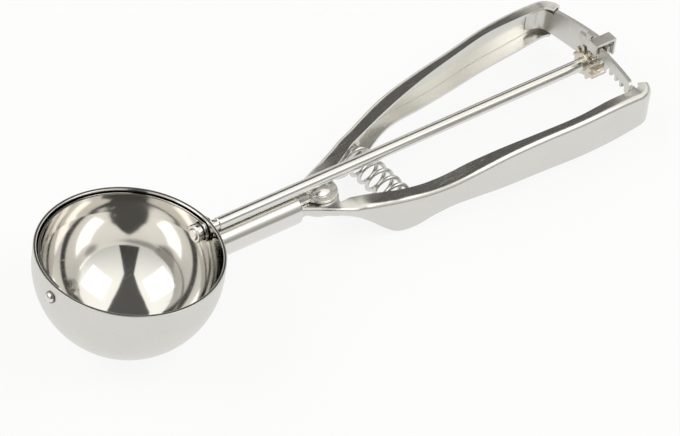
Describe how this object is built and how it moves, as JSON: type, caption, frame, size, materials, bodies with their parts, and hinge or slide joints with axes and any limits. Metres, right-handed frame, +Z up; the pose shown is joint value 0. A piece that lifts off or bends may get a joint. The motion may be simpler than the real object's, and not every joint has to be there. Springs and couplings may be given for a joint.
{
  "type": "lever ice cream scoop",
  "caption": "Steel ice cream scoop with a hemispherical bowl, a sweeping scraper, and two squeezed handles that drive it through a rack and pinion.",
  "frame": {"origin": "centre of the box's footprint on the table, where the scoop lies on its bowl and on the finger rests of both handles", "axes": "+X from the bowl towards the tail of the handles, +Y towards the fixed handle, +Z up from the table; the shaft falls towards the tail by the rest tilt"},
  "size_m": [0.2082, 0.056, 0.0356],
  "materials": {
    "polished_steel": "polished",
    "satin_steel": "satin",
    "plain_steel": "plain rolled sheet",
    "spring_steel": "bright drawn wire",
    "nickel_brass": "nickel plated, turned",
    "dark_steel": "dull"
  },
  "bodies": {
    "scoop_frame": {"bowl": "polished_steel", "neck": "polished_steel", "shaft_bushing": "polished_steel", "front_pivot_pin": "polished_steel", "front_pin_washer": "dark_steel", "pivot_rivet": "polished_steel", "rivet_washers": "polished_steel", "fixed_handle": "satin_steel", "bearing_strip": "plain_steel", "rack_keeper": "plain_steel", "return_spring": "spring_steel"},
    "lever": {"lever_handle": "satin_steel", "toothed_rack": "plain_steel"},
    "scraper_shaft": {"scraper": "polished_steel", "scraper_hub": "polished_steel", "shaft": "polished_steel", "shaft_retaining_pin": "polished_steel", "pinion": "nickel_brass", "pinion_collar": "nickel_brass", "shaft_end_ring": "dark_steel"}
  },
  "joints": [
    {"name": "lever_squeeze", "type": "hinge", "parent": "scoop_frame", "child": "lever", "pos_m": [-0.0059, 0, 0.0133], "axis": [0.1103, 0, 0.9939], "range_deg": [0, 7.4], "stiffness_Nm_per_rad": 2, "springref_deg": -2.86, "deforming": ["return_spring"]},
    {"name": "scraper_turn", "type": "hinge", "parent": "scoop_frame", "child": "scraper_shaft", "pos_m": [-0.0749, 0, 0.028], "axis": [-0.9939, 0, 0.1103], "range_deg": [0, 168.4]}
  ],
  "couplings": [
    {"joint": "scraper_turn", "follows": "lever_squeeze", "ratio": 22.756}
  ]
}
